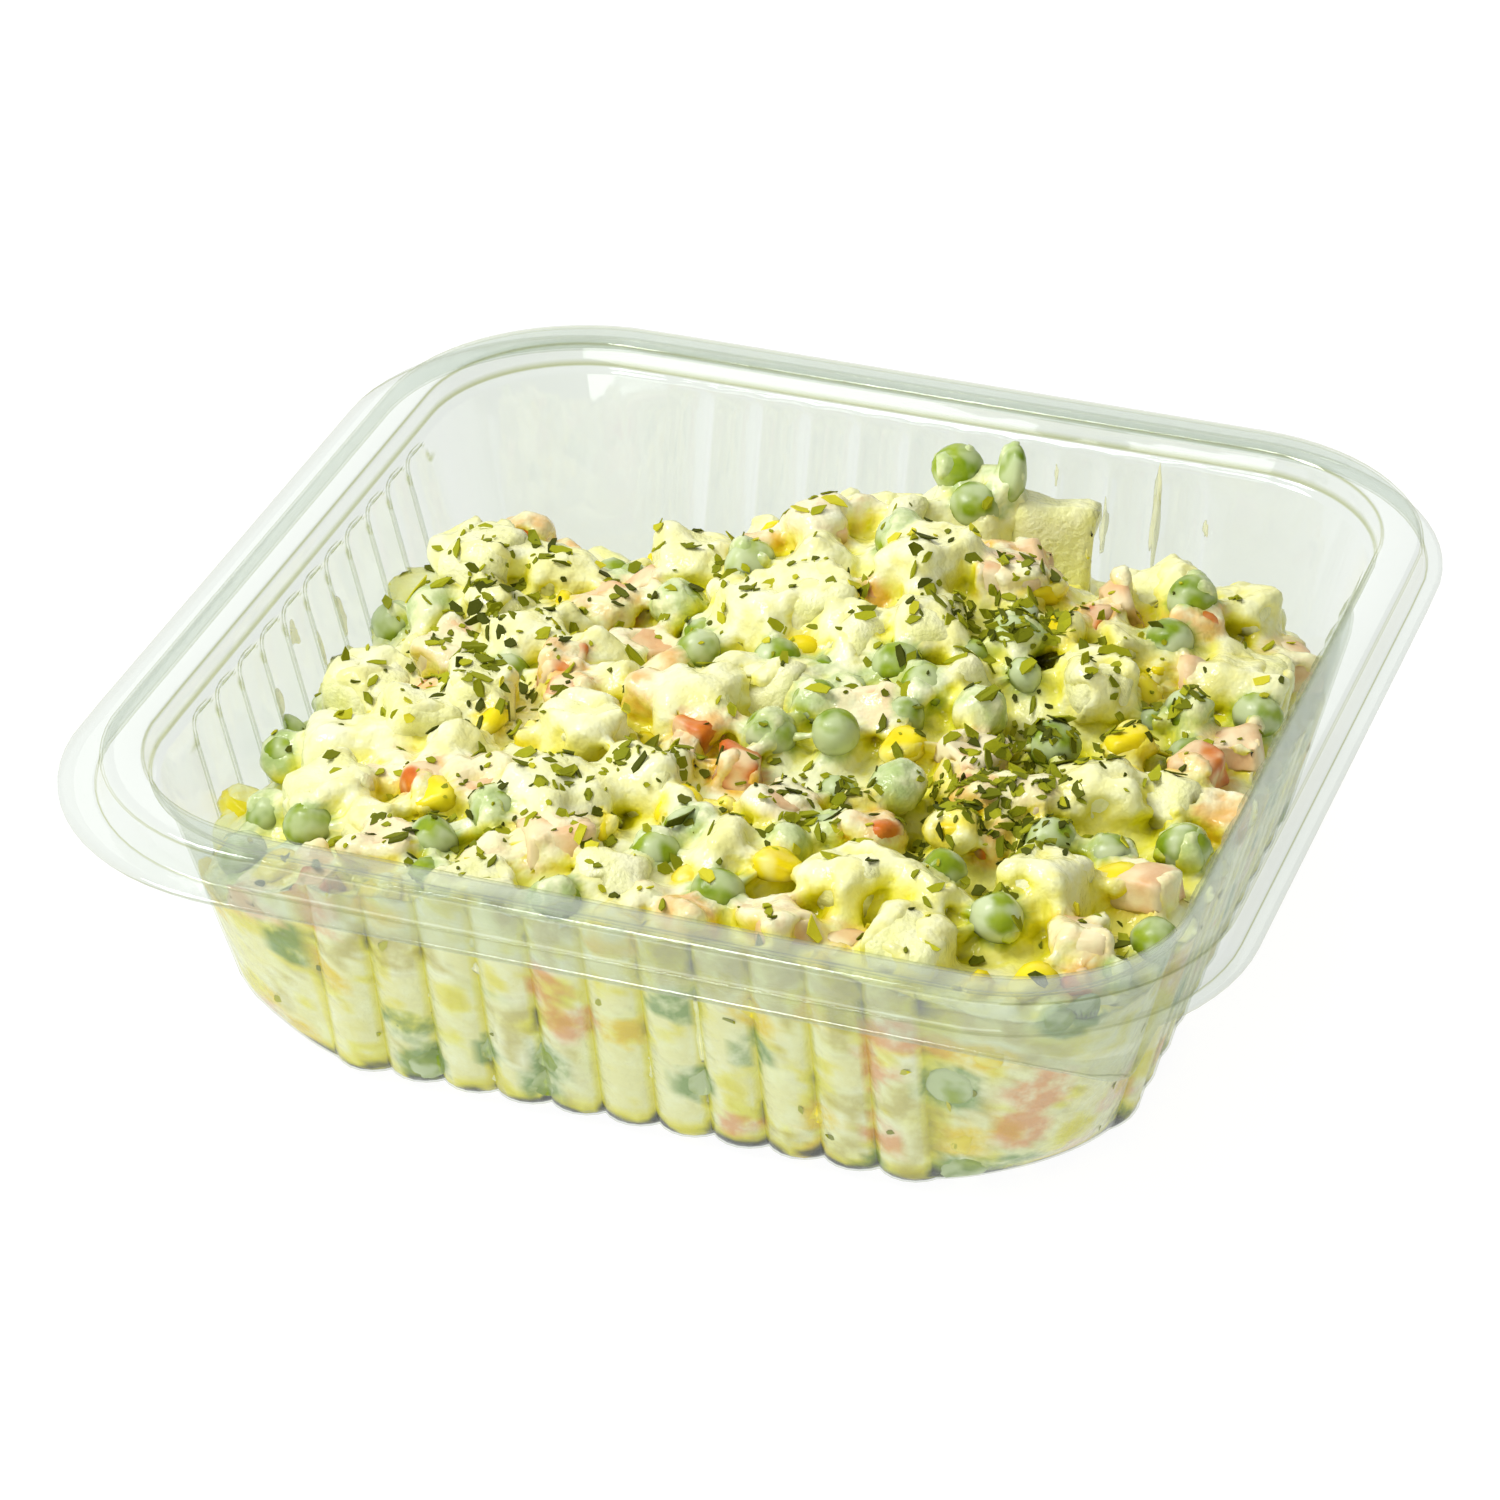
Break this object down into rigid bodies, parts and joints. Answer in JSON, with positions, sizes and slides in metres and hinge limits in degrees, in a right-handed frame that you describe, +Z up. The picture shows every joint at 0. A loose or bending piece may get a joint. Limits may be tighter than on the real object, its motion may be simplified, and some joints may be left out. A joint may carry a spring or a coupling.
{
  "type": "potato salad in clear deli tray",
  "caption": "Dressed potato salad with peas, corn, carrot, ham and dried herbs, heaped in a clear fluted square plastic tray with a peel tab.",
  "frame": {"origin": "on the table under the middle of the tray's flange", "axes": "+Z up, +X to the right and +Y to the back as seen from the side with the peel tab at the right"},
  "size_m": [0.1876, 0.188, 0.0592],
  "materials": {
    "tray": "clear glossy thermoformed plastic",
    "salad": "satin, moist"
  },
  "bodies": {
    "root": {"tray": "tray", "salad": "salad"}
  },
  "joints": []
}
